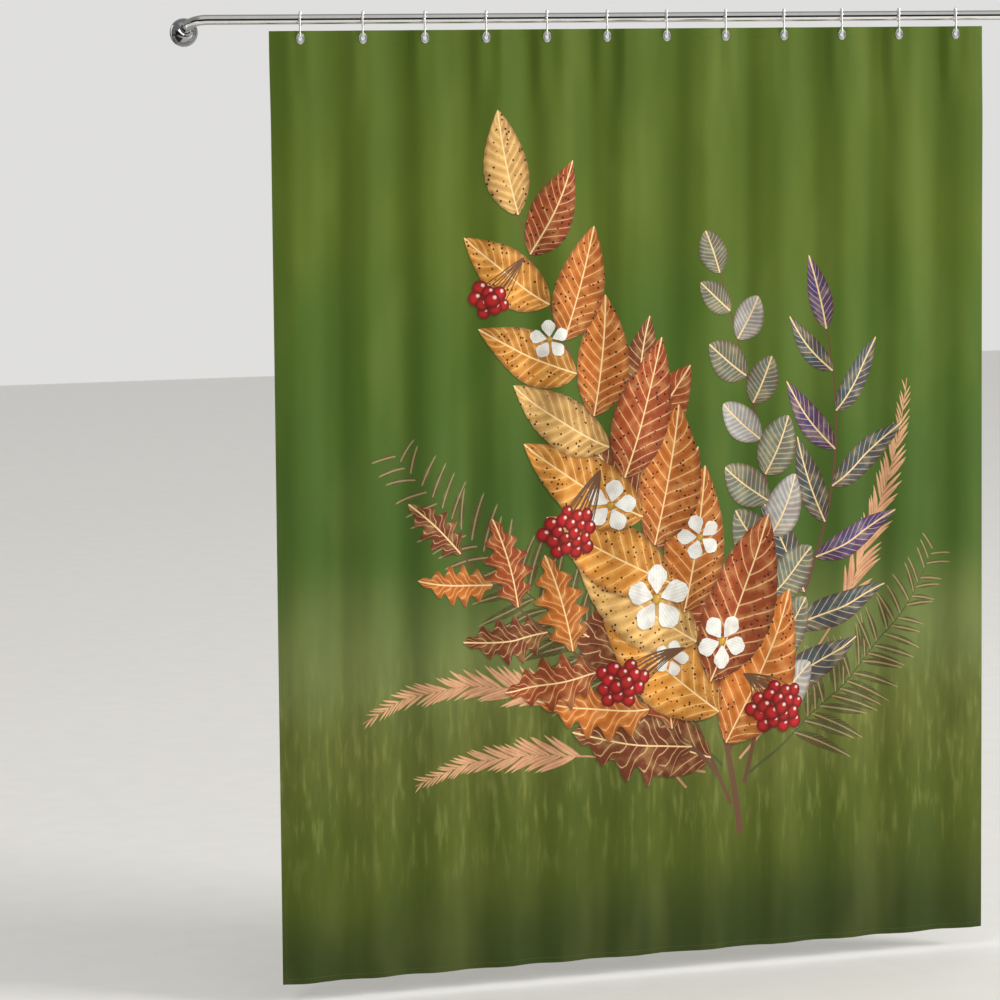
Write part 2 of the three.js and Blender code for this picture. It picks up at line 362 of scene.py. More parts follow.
def flange_profile():
    """Radii and heights of the rim, the dome, the lip and the socket that the rod stands in."""
    back = [(0, 0), (FLANGE_RADIUS, 0)]
    rim = [(FLANGE_RADIUS, RIM_EDGE), (FLANGE_RADIUS - RIM_BEVEL, RIM_HEIGHT)]
    last_rise = math.acos((COLLAR_RADIUS + LIP_WIDTH) / DOME_FOOT)
    depth = (FLANGE_HEIGHT - RIM_HEIGHT) / math.sin(last_rise)
    dome = []
    for rise in np.linspace(0, last_rise, 16):
        dome.append((DOME_FOOT * math.cos(rise), RIM_HEIGHT + depth * math.sin(rise)))
    crown = (COLLAR_RADIUS + LIP_WIDTH / 2, FLANGE_HEIGHT + LIP_CROWN)
    inner_lip = (COLLAR_RADIUS, FLANGE_HEIGHT - LIP_TURN)
    socket = [(COLLAR_RADIUS, FLANGE_FLOOR), (0, FLANGE_FLOOR)]
    return rounded([*back, *rim, *dome, crown, inner_lip, *socket], PRESSED_CORNER, 3)


def leaned(points):
    """The flange's points turned towards the leg, more with height, and fully in the socket."""
    points = np.array(points)
    radius, height = np.hypot(points[:, 0], points[:, 2]), -points[:, 1]
    rise = np.clip((height - RIM_HEIGHT) / (FLANGE_HEIGHT - RIM_HEIGHT), 0, 1)
    in_socket = (radius < COLLAR_RADIUS + 0.0002) & (height > RIM_HEIGHT)
    lean = leg_slant * np.where(in_socket, 1.0, rise * rise * (3 - 2 * rise))
    y = points[:, 1] * np.cos(lean) + points[:, 2] * np.sin(lean)
    z = points[:, 2] * np.cos(lean) - points[:, 1] * np.sin(lean)
    return np.stack([points[:, 0], y, z], axis=1)


turned, flange_faces = turned_profile(flange_profile(), 72, False)
flange_points = leaned(turned)
for side in ("left", "right"):
    flange = make_object(f"flange_{side}_dome", flange_points, flange_faces, flange_chrome_painted_dark)
    flange.location.x = middle_of(f"flange_{side}").x
    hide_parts(f"flange_{side}")
    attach(flange, "rod")
print("flanges", len(flange.data.vertices), "points each")

# %% [markdown]
# ## The hooks
#
# Each hook is one wire bent to a long C that is open at the back. Its upper bowl rides over the rod
# on five roller balls threaded on the wire, its stem drops straight down in front of the hem, and its
# lower bowl turns back through the eyelet. Both ends are beads, so the cloth slides on without
# catching. The path is the solids' own: two half circles, a straight stem and two short curved ends.
# Every hook hangs a little turned, because the photograph shows them all edge on.

# %% Bend the hooks
HOOK_TURN = math.radians(19.5)
WIRE_RADIUS, ROLLER_RADIUS, BEAD_RADIUS = 0.0016, 0.003, 0.0024
ROLLERS, ROLLER_PITCH, ROLLER_GAP = 5, math.radians(36), 0.0003
UPPER_FLARE, UPPER_DROP = 0.003, 0.010
LOWER_LEAN, LOWER_RISE, BOWL_IN_EYELET = 0.0015, 0.008, 0.0023


def bezier(points, steps):
    t = np.linspace(0, 1, steps)[:, None]
    a, b, c, d = (np.array(p, float) for p in points)
    return (1 - t) ** 3 * a + 3 * t * (1 - t) ** 2 * b + 3 * t**2 * (1 - t) * c + t**3 * d


def arc(centre_y, centre_z, radius, start, end, pieces):
    turns = np.linspace(start, end, pieces)
    return [(0, centre_y + radius * math.cos(t), centre_z + radius * math.sin(t)) for t in turns]


def turned_hook(points):
    """Points across the rod, turned about the vertical line through the eyelet."""
    points = np.array(points)
    points[:, 0] = (points[:, 1] + rod_axis.y - cloth_plane) * math.tan(HOOK_TURN)
    return points


def hook_points():
    """The wire's path round the rod's axis, its two ends, and the middles of its rollers."""
    upper = ROD_RADIUS + ROLLER_GAP + ROLLER_RADIUS
    hem_y = cloth_plane - rod_axis.y
    lower = upper + hem_y
    lower_z = eyelet_z - rod_axis.z + BOWL_IN_EYELET + lower
    back = hem_y + lower
    upper_tip = (0, upper + UPPER_FLARE, -UPPER_DROP)
    lower_tip = (0, back + LOWER_LEAN, lower_z + LOWER_RISE)
    flare = (0, upper + UPPER_FLARE / 3, -UPPER_DROP / 2)
    start = bezier([upper_tip, flare, (0, upper, -0.003), (0, upper, 0)], 10)
    over = arc(0, 0, upper, 0, math.pi, 40)
    stem = np.linspace((0, -upper, 0), (0, -upper, lower_z), 12)[1:-1]
    under = arc(hem_y, lower_z, lower, math.pi, 2 * math.pi, 26)
    rising = [(0, back, lower_z + 0.003), (0, back, lower_z + 0.005)]
    end = bezier([under[-1], *rising, lower_tip], 8)[1:]
    first_turn = math.pi / 2 - (ROLLERS - 1) / 2 * ROLLER_PITCH
    rollers = arc(0, 0, upper, first_turn, math.pi - first_turn, ROLLERS)
    wire = np.vstack([start, over[1:], stem, under, end])
    return turned_hook(wire), turned_hook([upper_tip, lower_tip]), turned_hook(rollers)


wire, tips, rollers = hook_points()
print("wire", len(wire), "points, from", wire.min(axis=0).round(4), "to", wire.max(axis=0).round(4))

# %% Hang the hooks


def ball(centre, radius, rings=12, sides=20):
    """Points and faces of a small ball."""
    points, faces = [(centre[0], centre[1], centre[2] - radius)], []
    for ring in range(1, rings):
        rise = -math.pi / 2 + math.pi * ring / rings
        level = radius * math.cos(rise)
        for turn in full_turn(sides):
            offset = (level * math.cos(turn), level * math.sin(turn), radius * math.sin(rise))
            points.append(tuple(np.add(centre, offset)))
    points.append((centre[0], centre[1], centre[2] + radius))
    last = len(points) - 1
    for ring in range(rings - 2):
        faces += band(1 + ring * sides, 1 + (ring + 1) * sides, sides)
    for s in range(sides):
        following = (s + 1) % sides
        faces.append((0, 1 + following, 1 + s))
        faces.append((last, last - sides + s, last - sides + following))
    return points, faces


def joined(*parts):
    """Several sets of points and faces as one."""
    points, faces = [], []
    for part_points, part_faces in parts:
        faces += [tuple(len(points) + k for k in face) for face in part_faces]
        points += list(part_points)
    return points, faces


hook_shape = joined(
    swept_round(wire, WIRE_RADIUS, 18),
    *(ball(tip, BEAD_RADIUS) for tip in tips),
    *(ball(roller, ROLLER_RADIUS) for roller in rollers),
)
for number, x in zip(hook_numbers, hook_x):
    hook = make_object(f"hook_wire_{number}", *hook_shape, hook_chrome)
    hook.location = (x, rod_axis.y, rod_axis.z)
    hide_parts(f"hook_{number}")
    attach(hook, f"hanger_{number}")
print("hooks", HOOKS, "points each", len(hook_shape[0]))

# %% [markdown]
# ## The eyelets
#
# An eyelet is two pressed metal ovals clamped together through the hem. Its outer rim is rolled and
# catches one bright line all the way, then the face is dished down and rises again to a small lip at
# the hole. A closed profile on the lathe gives both faces and the barrel, stretched to an oval.

# %% Turn the eyelets
EYELET_HOLE, EYELET_BARREL, EYELET_RIM, EYELET_TALLNESS = 0.0036, 0.0047, 0.0082, 1.34
RIM_FOOT, RIM_RISE, RIM_ROLL = 0.0004, 0.0012, 0.0007
DISH_AND_LIP = [
    (0.0066, 0.0006), (0.0060, 0.0005), (0.0052, 0.0005), (0.0045, 0.0006),
    (0.0041, 0.0009), (0.0038, 0.0009), (EYELET_HOLE, 0.0006),
]


def eyelet_profile():
    """Half widths and heights of one face from rim to hole, then the other face and the barrel."""
    rim = []
    for turn in np.linspace(0, 2.8, 9):
        width = EYELET_RIM - RIM_ROLL + RIM_ROLL * math.cos(turn)
        rim.append((width, RIM_FOOT + RIM_RISE * math.sin(turn)))
    face = [*rim, *DISH_AND_LIP]
    other = [(width, -height) for width, height in reversed(face)]
    return [*face, *other, (EYELET_BARREL, -0.0006), (EYELET_BARREL, 0.0006)]


turned, eyelet_faces = turned_profile(eyelet_profile(), 48, True)
eyelet_points = np.array(turned) * (1, 1, EYELET_TALLNESS)
for number in hook_numbers:
    ring = make_object(f"eyelet_{number}_ring", eyelet_points, eyelet_faces, eyelet_nickel)
    ring.location = middle_of(f"eyelet_{number}")
    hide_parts(f"eyelet_{number}")
    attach(ring, f"hanger_{number}")
print("eyelets", HOOKS)

# %% [markdown]
# ## How the cloth hangs
#
# The cloth falls in eleven soft vertical folds. Their crests stand where the photograph has its bands
# of light, and a cosine between one crest and the next gives the round shape of a heavy hang. The
# first and last crest lie past the cloth's edges and only shape what is left of a fold there. Along
# the top hem each hook holds its eyelet at the same depth, so the folds start nearly flat between
# the hooks and open within a hand's width or two. One function gives the depth of the cloth
# anywhere, and everything sewn to it uses it.

# %% Fold function
FOLD_DEPTH, LESS_AT_FOOT = 0.0087, 0.42
FOLD_CRESTS = [
    -0.075, 0.046, 0.188, 0.307, 0.453, 0.568, 0.711,
    0.873, 1.033, 1.170, 1.300, 1.437, 1.590,
]
HELD_NEAR_HOOK, FREE_FROM_HOOK = 0.007, 0.032
HELD_TO_DROP, FREE_FROM_DROP = 0.030, 0.200
RIPPLE_HEIGHT, RIPPLES = 0.00022, 7

rng = np.random.default_rng(12)
ripples = []
for _ in range(RIPPLES):
    ripples.append((rng.uniform(70, 190), rng.uniform(1.5, 6.0), rng.uniform(0, 6.3)))
hooks_from_left = np.array(hook_x) - cloth_left


def smooth(value, low, high):
    t = np.clip((value - low) / (high - low), 0, 1)
    return t * t * (3 - 2 * t)


def free_fold(x, drop):
    """The folds as they would hang with nothing holding the hem flat."""
    wander = 0.004 * np.sin(2.1 * drop + 5 * x) * smooth(drop, 0.1, 0.6)
    phase = np.interp(x + wander, FOLD_CRESTS, np.arange(len(FOLD_CRESTS)))
    strength = 0.94 + 0.06 * np.sin(2.3 * x + 1.7 * drop)
    strength *= 1 - LESS_AT_FOOT * smooth(drop, 1.1, FLAT_DROP)
    folds = -FOLD_DEPTH * strength * np.cos(2 * math.pi * phase)
    return folds + sum(RIPPLE_HEIGHT * np.sin(a * x + b * drop + c) for a, b, c in ripples)


def fold_depth(x, drop):
    """How far the cloth stands from its plane, at x from its left edge and a drop from its top."""
    free = free_fold(x, drop)
    after = np.clip(np.searchsorted(hooks_from_left, x), 1, HOOKS - 1)
    left, right = hooks_from_left[after - 1], hooks_from_left[after]
    share = np.clip((x - left) / (right - left), 0, 1)
    lean = free_fold(left, drop) * (1 - share) + free_fold(right, drop) * share
    nearest = np.minimum(np.abs(x - left), np.abs(x - right))
    tied = (free - lean) * smooth(nearest, HELD_NEAR_HOOK, FREE_FROM_HOOK)
    return free + (tied - free) * (1 - smooth(drop, HELD_TO_DROP, FREE_FROM_DROP))


print("crests", len(FOLD_CRESTS), "depth under the first hook", fold_depth(hooks_from_left[:1], 0.9))

# %% Hang points on the cloth


def hang(flat, lift=0.0, step=0.0005):
    """Flat points (across, down) as points in space, and the cloth's normals there."""
    flat = np.asarray(flat, float)
    x, drop = flat[:, 0] * hung_share, flat[:, 1]
    slope_x = (fold_depth(x + step, drop) - fold_depth(x - step, drop)) / (2 * step)
    slope_z = (fold_depth(x, drop - step) - fold_depth(x, drop + step)) / (2 * step)
    normals = np.stack([slope_x, -np.ones_like(x), slope_z], axis=1)
    normals /= np.linalg.norm(normals, axis=1)[:, None]
    points = np.stack([cloth_left + x, cloth_plane + fold_depth(x, drop), cloth_top - drop], axis=1)
    return points + normals * np.reshape(lift, (-1, 1)), normals


check_x = np.linspace(0, hung_width, 300)
deep = fold_depth(check_x, np.full(len(check_x), 0.9))
length = np.hypot(np.diff(check_x), np.diff(deep)).sum()
print("folds from", round(deep.min(), 4), "to", round(deep.max(), 4), "length", round(length, 3))

# %% [markdown]
# ## Shapes of the print
#
# The print is a tall spray of autumn foliage over an out-of-focus meadow. On the real cloth the ink
# follows the threads exactly, wherever they fold, so the motifs are drawn on the flat cloth, in flat
# metres, and become part of its mesh. An image would blur up close; outlines stay sharp. Each shape
# keeps its outline, its colour and a rule that places a point along and across it, which the ink
# needs later for veins and shading. Soft shades under the shapes are copies of their outlines.

# %% Motifs and their shades
motifs = []
SHADE_STEPS = (1.0, 0.72, 0.44)
SHADE_WAY = np.array([-0.6, 0.8])
SHADE_TONE = 0.86


def turned_one_way(outline):
    """The outline with its points counter-clockwise, as the triangulation wants them."""
    outline = np.asarray(outline, float)
    ahead = np.roll(outline, -1, axis=0)
    area = np.sum(outline[:, 0] * ahead[:, 1] - ahead[:, 0] * outline[:, 1])
    return outline if area > 0 else outline[::-1]


def add_shade(outline, reach):
    """Copies of an outline a little lower and to the left, which darken what they cover."""
    for share in SHADE_STEPS:
        moved = np.asarray(outline, float) + reach * share * SHADE_WAY
        motifs.append({"outline": turned_one_way(moved), "inner": [], "shade": SHADE_TONE})


def add_motif(outline, place, colour, ink, inner=(), casts=0.0):
    """One shape of the print. Its ink is how much vein, speck, ball shading and streak it takes."""
    if casts > 0:
        add_shade(outline, casts)
    inner = [np.asarray(line, float) for line in inner]
    shape = {"outline": turned_one_way(outline), "inner": inner}
    motifs.append({**shape, "place": place, "colour": colour, "ink": ink})


def own_frame(base, angle):
    """Where a shape stands and which way it points. Angles are as seen, with up positive."""
    c, s = math.cos(angle), math.sin(angle)
    return np.asarray(base, float), np.array([[c, -s], [-s, -c]])


def on_cloth(frame_here, points):
    base, turn = frame_here
    return np.asarray(points) @ turn + base


def in_frame(frame_here, points):
    base, turn = frame_here
    return (np.asarray(points) - base) @ turn


print("one step up the cloth", on_cloth(own_frame((0, 0), math.pi / 2), [(1, 0)]).round(3).tolist())

# %% [markdown]
# ## Leaves
#
# A leaf grows along a midrib that may bend, and its half width rises and falls from base to tip. Only
# that width rule differs between kinds: an oak has lobes, a beech a faint wave, a plain leaf none.
# The midrib and two lines beside it go into the mesh too, so the colours have points to change at.

# %% Draw a leaf


def leaf_width(t, kind):
    """Half the width of a leaf at t from its base to its tip, as a share of its widest."""
    body = np.sin(math.pi * np.clip(t, 0, 1) ** 0.78) ** 0.85
    if kind == "oak":
        return body * (0.80 + 0.26 * np.cos(2 * math.pi * (5.2 * t + 0.1)))
    if kind == "beech":
        return body * (1 + 0.05 * np.abs(np.sin(11 * math.pi * t)))
    if kind == "round":
        return np.sin(math.pi * np.clip(t, 0, 1) ** 0.9) ** 0.62
    return body


def draw_leaf(base, angle, length, width, bend, kind, colour, ink=(1.0, 0.0, 0.0, 0.0), stops=46):
    """A leaf from its base, with its midrib bent sideways by bend at the tip."""
    here = own_frame(base, angle)
    t = np.linspace(0, 1, stops)
    spine = bend * length * t**2
    half = width / 2 * leaf_width(t, kind)
    upper = np.stack([length * t, spine + half], axis=1)[1:-1]
    lower = np.stack([length * t, spine - half], axis=1)[::-1][1:-1]
    tip = [(length, bend * length)]
    outline = np.vstack([[(0, 0)], upper, tip, lower])
    inside = [spine] if stops < 20 else [spine, spine + half / 2, spine - half / 2]
    inner = [np.stack([length * t, line], axis=1)[2:-2:2] for line in inside]

    def place(points):
        local = in_frame(here, points)
        along = np.clip(local[:, 0] / length, 0, 1)
        off = local[:, 1] - bend * length * along**2
        widest = np.maximum(width / 2 * leaf_width(along, kind), 0.0006)
        return np.stack([along, np.clip(off / widest, -1.2, 1.2), off], axis=1)

    casts = 0.040 * width if stops > 20 else 0.0
    inner = [on_cloth(here, line) for line in inner]
    add_motif(on_cloth(here, outline), place, colour, ink, inner, casts)


print("oak width along the leaf", leaf_width(np.linspace(0, 1, 6), "oak").round(2))

# %% [markdown]
# ## Stems, grass and ferns
#
# Stems taper along a smooth curve. A grass plume and a fern frond are the same idea: many small
# narrow leaves in two ranks along a stem, shorter towards the tip. They differ in how wide the leaves
# spread and how long they are, so one function draws both.

# %% Colours and inks of the spray
GOLD, AMBER, RUSSET = linear(226, 152, 58), linear(208, 118, 44), linear(168, 76, 36)
CHESTNUT, PALE_GOLD = linear(122, 60, 36), linear(232, 184, 108)
TEAL, INDIGO = linear(42, 88, 100), linear(62, 66, 122)
SAGE, SILVER = linear(112, 132, 120), linear(176, 184, 184)
SCARLET, IVORY, HEART = linear(184, 30, 36), linear(238, 238, 230), linear(206, 160, 60)
STRAW, BARK, FERN = linear(202, 144, 110), linear(98, 66, 44), linear(58, 76, 38)
PLAIN_INK, SPECKLED_INK, FAINT_INK = (1, 0, 0, 0), (1, 1, 0, 0), (0.3, 0, 0, 0)
FIRST_LEAF, LAST_LEAF = 0.14, 0.99

draw = np.random.default_rng(7)
print("first frond colours", [round(v, 3) for v in FERN[:3]], [round(v, 3) for v in STRAW[:3]])

# %% Draw stems, plumes and fronds


def tinted(colour, spread=0.12):
    """The same ink a little lighter or darker."""
    gain = 1 + draw.uniform(-spread, spread)
    return (*(min(1.0, value * gain) for value in colour[:3]), 1.0)


def draw_stem(points, start_width, end_width, colour, steps=60):
    """A tapering stem along a smooth line. It gives back its points and the headings there."""
    line = bezier([(*p, 0) for p in points], steps)[:, :2]
    along = np.gradient(line, axis=0)
    along /= np.maximum(np.linalg.norm(along, axis=1), 1e-9)[:, None]
    side = np.stack([-along[:, 1], along[:, 0]], axis=1)
    half = np.linspace(start_width, end_width, steps)[:, None] / 2
    outline = np.vstack([line + side * half, (line - side * half)[::-1]])

    def place(points):
        return np.zeros((len(points), 3)) + (0.5, 0.0, 0.02)

    add_motif(outline, place, colour, (0, 0, 0, 0.6))
    return line, np.arctan2(-along[:, 1], along[:, 0])


def draw_frond(points, leaves, size, spread, start, ratio, colour):
    """A stem with many narrow leaves in two ranks, shorter towards its tip."""
    line, headings = draw_stem(points, 0.005, 0.0016, tinted(colour))
    for k in range(leaves):
        share = k / leaves
        at = int((start + (0.98 - start) * share) * (len(line) - 1))
        side = 1 if k % 2 else -1
        reach = size * (1.12 - 0.78 * share) * draw.uniform(0.88, 1.08)
        angle = headings[at] + side * spread * draw.uniform(0.8, 1.2)
        shade = tinted(colour)
        draw_leaf(line[at], angle, reach, reach * ratio, side * 0.12, "plain", shade, FAINT_INK, 14)


def leafy_stem(points, leaves, size, colours, kind, ratio, first=1, ink=PLAIN_INK, width=0.009):
    """A stem with leaves on alternate sides, smaller towards its tip."""
    line, headings = draw_stem(points, width, 0.003, tinted(BARK))
    for k in range(leaves):
        share = FIRST_LEAF + (LAST_LEAF - FIRST_LEAF) * k / (leaves - 1)
        at = min(len(line) - 1, int(share * (len(line) - 1)))
        side = first if k % 2 else -first
        reach = size * (1.08 - 0.52 * share) * draw.uniform(0.92, 1.08)
        angle = headings[at] + side * draw.uniform(0.62, 0.92) * (1 if k < leaves - 1 else 0.05)
        bend = -side * draw.uniform(0.04, 0.16)
        wide = reach * ratio * draw.uniform(0.92, 1.06)
        draw_leaf(line[at], angle, reach, wide, bend, kind, tinted(colours[k % len(colours)]), ink)


print("leaves start at", FIRST_LEAF, "and end at", LAST_LEAF, "of a stem")

# %% [markdown]
# ## Blossoms and berries
#
# A blossom is five petals round a small heart, and a berry is a dot that its ink will shade as a
# ball. Berries grow in clusters: each next one stands a golden angle further round, which packs them
# evenly without a grid.

# %% Draw blossoms and berries
GOLDEN_ANGLE, PETAL_HALF = 2.4, 0.36


def draw_dot(centre, radius, colour, glow):
    """A round dot that is shaded as a ball."""
    turns = full_turn(22)
    centre = np.asarray(centre, float)
    ring = np.stack([np.cos(turns), np.sin(turns)], axis=1) * radius

    def place(points):
        offset = (np.asarray(points) - centre) / radius
        shine = np.hypot(offset[:, 0] - 0.34, offset[:, 1] + 0.36)
        return np.stack([np.hypot(offset[:, 0], offset[:, 1]), shine, offset[:, 0] * 0], axis=1)

    add_motif(centre + ring, place, colour, (0, 0, glow, 0), [centre + ring * 0.5], radius * 0.35)


def draw_blossom(centre, radius, turn):
    """Five petals and a heart."""
    for angle in turn + full_turn(5):
        start = np.asarray(centre) + 0.12 * radius * np.array([math.cos(angle), -math.sin(angle)])
        here = own_frame(start, angle)
        t = np.linspace(0, 1, 20)
        half = radius * PETAL_HALF * np.sin(math.pi * t**1.5) ** 0.75
        reach = radius * (0.97 + 0.03 * np.cos(6 * math.pi * t))
        upper = np.stack([reach * t, half], axis=1)[1:-1]
        lower = np.stack([reach * t, -half], axis=1)[::-1][1:-1]
        outline = np.vstack([[(0, 0)], upper, [(radius * 0.95, 0)], lower])

        def place(points, here=here):
            local = in_frame(here, points)
            across = local[:, 1] / (radius * PETAL_HALF)
            return np.stack([np.clip(local[:, 0] / radius, 0, 1), across, local[:, 1]], axis=1)

        petal = on_cloth(here, outline)
        add_motif(petal, place, tinted(IVORY, 0.03), (0, 0, 0, 1), (), radius * 0.08)
    draw_dot(centre, radius * 0.17, HEART, 0.5)


def berry_cluster(root, middle, berries, size):
    """Berries on thin stalks, packed round a middle."""
    turns = GOLDEN_ANGLE * np.arange(berries)
    reach = size * np.sqrt((np.arange(berries) + 0.5) / berries)
    around = np.stack([reach * np.cos(turns), 0.85 * reach * np.sin(turns)], axis=1)
    centres = np.array(middle) + around
    for centre in centres:
        bent = (np.array(root) + centre) / 2 + (0.01, -0.012)
        draw_stem([root, tuple(bent), tuple(bent), tuple(centre)], 0.003, 0.002, BARK, steps=12)
    for centre in centres[::-1]:
        draw_dot(centre, draw.uniform(0.0125, 0.0155), tinted(SCARLET), 1.0)


print("turn between berries", round(math.degrees(GOLDEN_ANGLE), 1), "degrees")

# %% [markdown]
# ## Laying out the spray
#
# One long stem rises from the lower right to the upper left, with side stems low on both sides. The
# order of drawing is the order of layers: ferns and plumes first, then the back leaves, the front
# leaves, and the flowers and berries last. All variation comes from one seeded generator, so the
# print is the same every time. Places are metres across and down from the cloth's top left corner.

# %% Lay out the spray
for frond in (
    ([(0.94, 1.46), (0.66, 1.20), (0.40, 1.02), (0.22, 0.78)], 46, 0.150, 0.95, 0.20, 0.17, FERN),
    ([(1.00, 1.48), (1.18, 1.34), (1.34, 1.22), (1.43, 1.02)], 40, 0.120, 0.95, 0.20, 0.17, FERN),
    ([(0.86, 1.50), (0.70, 1.30), (0.38, 1.20), (0.17, 1.33)], 60, 0.085, 0.33, 0.40, 0.13, STRAW),
    ([(0.90, 1.47), (0.66, 1.42), (0.44, 1.38), (0.28, 1.46)], 50, 0.075, 0.33, 0.40, 0.13, STRAW),
    ([(0.98, 1.45), (1.22, 1.20), (1.32, 0.96), (1.35, 0.70)], 56, 0.080, 0.33, 0.40, 0.13, STRAW),
):
    draw_frond(*frond)

blue_path = [(0.95, 1.44), (1.14, 1.16), (1.24, 0.92), (1.17, 0.58)]
leafy_stem(blue_path, 11, 0.25, [TEAL, INDIGO, TEAL], "plain", 0.30)
silver_path = [(0.99, 1.50), (1.08, 1.16), (1.07, 0.84), (0.93, 0.46)]
leafy_stem(silver_path, 15, 0.155, [SILVER, SAGE, SAGE], "round", 0.66)
beech_path = [(0.96, 1.54), (0.84, 1.30), (0.74, 1.05), (0.76, 0.70)]
leafy_stem(beech_path, 9, 0.30, [CHESTNUT, RUSSET], "beech", 0.46, -1)
oak_path = [(0.93, 1.48), (0.80, 1.32), (0.58, 1.22), (0.37, 1.00)]
leafy_stem(oak_path, 10, 0.26, [CHESTNUT, RUSSET, AMBER], "oak", 0.56, -1)
main_path = [(0.98, 1.60), (0.93, 1.12), (0.66, 0.86), (0.50, 0.33)]
warm = [AMBER, GOLD, RUSSET, PALE_GOLD, AMBER, GOLD]
leafy_stem(main_path, 16, 0.35, warm, "beech", 0.45, ink=SPECKLED_INK, width=0.014)

for centre, radius, turn in (
    ((0.80, 1.12), 0.064, 0.3), ((0.94, 1.21), 0.052, 0.9), ((0.70, 0.93), 0.048, 0.1),
    ((0.89, 1.00), 0.042, 0.6), ((0.57, 0.60), 0.036, 0.4), ((0.83, 1.24), 0.034, 0.0),
):
    draw_blossom(centre, radius, turn)

berry_cluster((0.68, 0.86), (0.61, 0.98), 19, 0.056)
berry_cluster((0.86, 1.22), (0.72, 1.28), 15, 0.050)
berry_cluster((0.99, 1.28), (1.06, 1.35), 19, 0.056)
berry_cluster((0.52, 0.44), (0.44, 0.52), 9, 0.034)
print("motifs", len(motifs))

# %% [markdown]
# ## Cutting the print into the cloth
#
# The cloth's mesh needs two things at once: an even grid that can fold, and the exact outline of each
# motif. A constrained Delaunay triangulation takes both and also reports which shapes lie over each
# triangle, so the top one wins, and every shade above it darkens it. Rows and columns are added along
# the hems, and round holes are left for the eyelets.

# %% Rows and columns
TOP_HEM, BOTTOM_HEM, SIDE_HEM = 0.019, 0.010, 0.007
COLUMN_STEP, ROW_STEP, FINE_STEP, FINE_DROP = 0.0068, 0.024, 0.009, 0.2
HOLE_ROOM = 0.0003


def stops_between(start, end, step, extra):
    """Even stops from start to end, with extra stops added."""
    even = np.linspace(start, end, int(round((end - start) / step)) + 1)
    kept = [value for value in even if min(abs(value - other) for other in extra) > step * 0.3]
    return np.array(sorted([*kept, *extra]))


def hem_stops(line, edge):
    """Stops close to a line of stitching, and the edge itself."""
    return [edge, *(line + offset for offset in (-0.0016, -0.0008, 0.0, 0.0008, 0.0016))]


side_stops = [*hem_stops(SIDE_HEM, 0), *hem_stops(FLAT_WIDTH - SIDE_HEM, FLAT_WIDTH)]
columns = stops_between(0, FLAT_WIDTH, COLUMN_STEP, side_stops)
upper_rows = stops_between(0, FINE_DROP, FINE_STEP, hem_stops(TOP_HEM, 0))
foot_stops = hem_stops(FLAT_DROP - BOTTOM_HEM, FLAT_DROP)
lower_rows = stops_between(FINE_DROP, FLAT_DROP, ROW_STEP, foot_stops)
rows = np.unique(np.round([*upper_rows, *lower_rows], 6))
print("rows", len(rows), "columns", len(columns))

# %% Triangulate the cloth


def eyelet_holes():
    turns = full_turn(20)
    radius = EYELET_BARREL + HOLE_ROOM
    widths, heights = radius * np.cos(turns) / hung_share, EYELET_TALLNESS * radius * np.sin(turns)
    ring = np.stack([widths, heights], axis=1)
    for x in hook_x:
        yield ring + ((x - cloth_left) / hung_share, cloth_top - eyelet_z)


def cut_cloth():
    points = [Vector((x, y)) for y in rows for x in columns]
    corners = [0, len(columns) - 1, len(points) - 1, len(points) - len(columns)]
    shapes, lines = [corners], []

    def add(outline):
        first = len(points)
        points.extend(Vector(p) for p in outline)
        return list(range(first, len(points)))

    for hole in eyelet_holes():
        shapes.append(add(hole))
    for motif in motifs:
        shapes.append(add(motif["outline"]))
        for line in motif["inner"]:
            numbers = add(line)
            lines += list(zip(numbers, numbers[1:]))
    return delaunay_2d_cdt(points, lines, shapes, 1, 1e-6)


def top_and_shade(numbers):
    """The top motif over a triangle, or -1 for the bare ground, and the shade that falls on it."""
    shade = 1.0
    for number in sorted((n - HOOKS - 1 for n in numbers if n > HOOKS), reverse=True):
        if "shade" not in motifs[number]:
            return number, shade
        shade *= motifs[number]["shade"]
    return -1, shade


flat_points, _, triangles, _, _, covers = cut_cloth()
flat_points = np.array([tuple(p) for p in flat_points])
kept = []
for triangle, cover in zip(triangles, covers):
    if not any(1 <= n <= HOOKS for n in cover):
        kept.append((triangle, top_and_shade(cover)))
triangles = np.array([t for t, _ in kept])
top_motif = np.array([top for _, (top, _) in kept])
print_shade = np.array([shade for _, (_, shade) in kept])
used = np.unique(triangles)
renumber = np.full(len(flat_points), -1)
renumber[used] = np.arange(len(used))
flat_points, triangles = flat_points[used], renumber[triangles]
print("cloth points", len(flat_points), "triangles", len(triangles))

# %% [markdown]
# ## Hanging the cloth
#
# Each flat point now goes to its place in the folds. The cloth gets a front and a back, joined round
# its edge and its holes, because a real cloth has two faces that look different. At the hems it is
# doubled, so the back stands further off there, and the stitching pulls the front in a little.

# %% Hems and their stitching
CLOTH_THICKNESS = 0.0005
PULL_DEPTH, PULL_WIDTH = 0.00022, 0.0011


def stitch_pull(flat):
    """How deep the rows of stitching pull the cloth in."""
    lines = (
        flat[:, 1] - TOP_HEM,
        flat[:, 1] - (FLAT_DROP - BOTTOM_HEM),
        flat[:, 0] - SIDE_HEM,
        flat[:, 0] - (FLAT_WIDTH - SIDE_HEM),
    )
    return sum(PULL_DEPTH * np.exp(-((line / PULL_WIDTH) ** 2)) for line in lines)


def in_hem(flat):
    from_side = np.minimum(flat[:, 0], FLAT_WIDTH - flat[:, 0])
    doubled = (flat[:, 1] < TOP_HEM) | (flat[:, 1] > FLAT_DROP - BOTTOM_HEM) | (from_side < SIDE_HEM)
    return doubled.astype(float)


print("share of points in a hem", in_hem(flat_points).mean().round(3))

# %% Build the hung cloth


